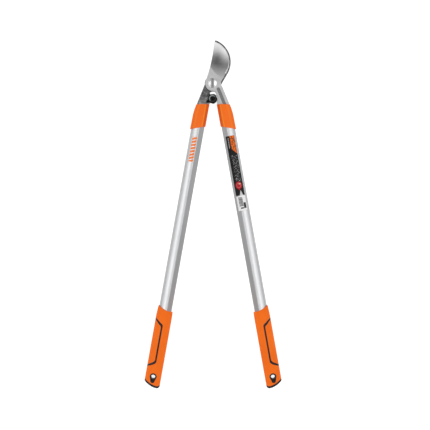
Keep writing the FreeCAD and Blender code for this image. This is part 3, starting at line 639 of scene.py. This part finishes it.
def badge_print(paint, u, s, film):
    """Plain red badge with a pale ring, a glint and a short tail."""
    across = paint.minus(u, BADGE_CENTRE[0])
    down = paint.minus(s, BADGE_CENTRE[1])
    reach = paint.distance(paint.over(across, BADGE_HALF[0]), paint.over(down, BADGE_HALF[1]))
    tail = paint.times(paint.size(across), BADGE_TAIL_SLOPE)
    in_tail = paint.times(paint.is_less(paint.add(down, tail), BADGE_TAIL_END),
                          paint.is_more(down, BADGE_TAIL_START))
    ring = paint.box_mask(reach, down, *BADGE_RING, BADGE_RING_SOFT)
    glint = paint.box_mask(across, down, *BADGE_GLINT, BADGE_GLINT_SOFT)
    ink = paint.blend(paint.times(ring, 0.35), BADGE_RED, BADGE_RING_PINK)
    ink = paint.blend(paint.times(glint, 0.7), ink, BADGE_GLINT_PALE)
    badge = paint.larger(paint.is_less(reach, 1.0), in_tail)
    return paint.blend(badge, film, ink)


def printed_label():
    """Black film with an orange corner, columns of fine light marks, a red badge and a notched lower end."""
    paint = Paint("printed_label", grey(0.01), roughness=0.45, Specular_IOR_Level=0.2)
    u, s = paint.print_coordinates()
    film = paint.ramp(paint.noise(60.0, detail=2.0), *FILM_BLACK)
    film = flag_print(paint, u, s, film)
    film = column_print(paint, u, s, film)
    film = badge_print(paint, u, s, film)
    aside = paint.size(paint.minus(u, NOTCH_U))
    notch = paint.minus(s, paint.times(aside, NOTCH_SLOPE))
    film = paint.blend(paint.is_more(notch, NOTCH_POINT_S), film, FILM_GREY)
    paint.set("Base Color", film)
    paint.bump((paint.noise(1500.0, detail=2.0), 0.005 * MM))
    return paint


def code_sticker():
    """White paper sticker with a block of fine bars, a dark patch and a printed rule."""
    paint = Paint("code_sticker", grey(0.8), roughness=0.6, Specular_IOR_Level=0.3)
    u, s = paint.print_coordinates()
    paper = paint.ramp(paint.noise(400.0), *PAPER_WHITE)
    stripes = paint.streaks((30.0, 900.0, 1.0), SPLAY, detail=0.0)
    bars = paint.times(paint.between(stripes, 0.44, 0.50, 0.35, 1.0),
                       paint.box_mask(u, s, *CODE_BARS, CODE_SOFT))
    patch = paint.larger(paint.box_mask(u, s, *CODE_PATCH, CODE_SOFT),
                         paint.box_mask(u, s, *CODE_RULE, CODE_SOFT))
    colour = paint.blend(bars, paper, grey(0.10))
    colour = paint.blend(patch, colour, grey(0.03))
    paint.set("Base Color", colour)
    paint.bump((paint.noise(900.0), 0.01 * MM))
    return paint


# ---- Every CAD node gets its material ----
finishes = {
    "hook_blade": forged_steel(),
    "cutting_blade": ground_steel(),
    "pivot_bolt": polished_steel(),
    "pivot_bush": turned_bronze(),
    "bumper": black_rubber(),
    "bumper_screw": black_steel(),
    "handle_label": printed_label(),
    "code_sticker": code_sticker(),
    "left_tube": marked_aluminium(),
    "right_tube": satin_aluminium(RIGHT),
    "left_collar": orange_plastic(LEFT),
    "right_collar": orange_plastic(RIGHT),
}
both_handles = {
    "tang_insert": black_nylon(),
    "tang_rivets": rivet_aluminium(),
    "grip_core": black_plastic(),
    "grip_cover": orange_rubber(),
    "grip_panel": orange_rubber(),
}
zinc = zinc_steel()
for node in ("pivot_washer", "pivot_nut", "bumper_nut"):
    finishes[node] = zinc
for kind, paint in both_handles.items():
    finishes["left_" + kind] = paint
    finishes["right_" + kind] = paint
for node, paint in finishes.items():
    for slot in NODES[node].material_slots:
        slot.material = paint.material


# ---- Floor, light and sky ----
FLOOR_HALF = 6.0
FLOOR_DROP = 0.0002
FLOOR_GLOW = 0.93
SOFTBOX_ANGLE = 25.0
SOFTBOX_SIZE = (0.6, 1.7)
SOFTBOX_POWER = 4.5
SOFTBOX_DISTANCE = 2.2
SKY_LEVELS = ((0.0, 0.16), (0.12, 0.20), (0.40, 0.60), (0.80, 0.88), (1.0, 0.80))    # (rise, level)
SKY_BAND = ((0.0, 0.30), (0.14, 0.38), (0.26, 1.0), (1.0, 1.0))                      # (sideways, level)
SKY_STRENGTH = 1.27


def make_floor():
    mesh = bpy.data.meshes.new("floor")
    half = FLOOR_HALF
    corners = [(-half, -half, 0.0), (half, -half, 0.0), (half, half, 0.0), (-half, half, 0.0)]
    mesh.from_pydata(corners, [], [(0, 1, 2, 3)])
    floor = bpy.data.objects.new("floor", mesh)
    floor.location.z = -FLOOR_DROP
    bpy.context.scene.collection.objects.link(floor)
    paint = Paint("floor", grey(0.30), roughness=0.9)
    mottle = paint.noise(3.0, detail=2.0)
    paint.set("Base Color", paint.ramp(mottle, (0.3, grey(0.29)), (0.7, grey(0.31))))
    paint.set("Emission Color", grey(1.0))
    paint.set("Emission Strength", FLOOR_GLOW)
    mesh.materials.append(paint.material)


def softbox(name, angle):
    """Long area light along the tool, angle degrees from straight above, towards +X if positive."""
    data = bpy.data.lights.new(name, "AREA")
    data.shape = "RECTANGLE"
    data.size, data.size_y = SOFTBOX_SIZE
    data.energy = SOFTBOX_POWER
    light = bpy.data.objects.new(name, data)
    lean = math.radians(angle)
    light.location = (SOFTBOX_DISTANCE * math.sin(lean), 0.0, SOFTBOX_DISTANCE * math.cos(lean))
    light.rotation_euler = (0.0, lean, 0.0)
    light.visible_camera = False
    bpy.context.scene.collection.objects.link(light)


def make_sky():
    """Studio dome: soft white overhead, darker towards the horizon and in a narrow band along the tool."""
    world = bpy.data.worlds.new("studio")
    bpy.context.scene.world = world
    world.use_nodes = True
    tree = world.node_tree
    tree.nodes.clear()
    out = tree.nodes.new("ShaderNodeOutputWorld")
    sky = tree.nodes.new("ShaderNodeBackground")
    sky.inputs["Strength"].default_value = SKY_STRENGTH
    split = tree.nodes.new("ShaderNodeSeparateXYZ")
    place = tree.nodes.new("ShaderNodeTexCoord")
    sideways = tree.nodes.new("ShaderNodeMath")
    sideways.operation = "ABSOLUTE"
    both = tree.nodes.new("ShaderNodeMix")
    both.data_type = "RGBA"
    both.blend_type = "MULTIPLY"
    both.inputs["Factor"].default_value = 1.0
    tree.links.new(place.outputs["Generated"], split.inputs[0])
    tree.links.new(split.outputs["X"], sideways.inputs[0])
    ways = ((split.outputs["Z"], SKY_LEVELS, both.inputs[6]), (sideways.outputs[0], SKY_BAND, both.inputs[7]))
    for source, levels, target in ways:
        ramp = tree.nodes.new("ShaderNodeValToRGB")
        fill_ramp(ramp, [(position, grey(level)) for position, level in levels])
        tree.links.new(source, ramp.inputs[0])
        tree.links.new(ramp.outputs[0], target)
    tree.links.new(both.outputs[2], sky.inputs[0])
    tree.links.new(sky.outputs[0], out.inputs[0])


make_floor()
softbox("softbox_left", -SOFTBOX_ANGLE)
softbox("softbox_right", SOFTBOX_ANGLE)
make_sky()
bpy.context.scene.view_settings.view_transform = "Standard"
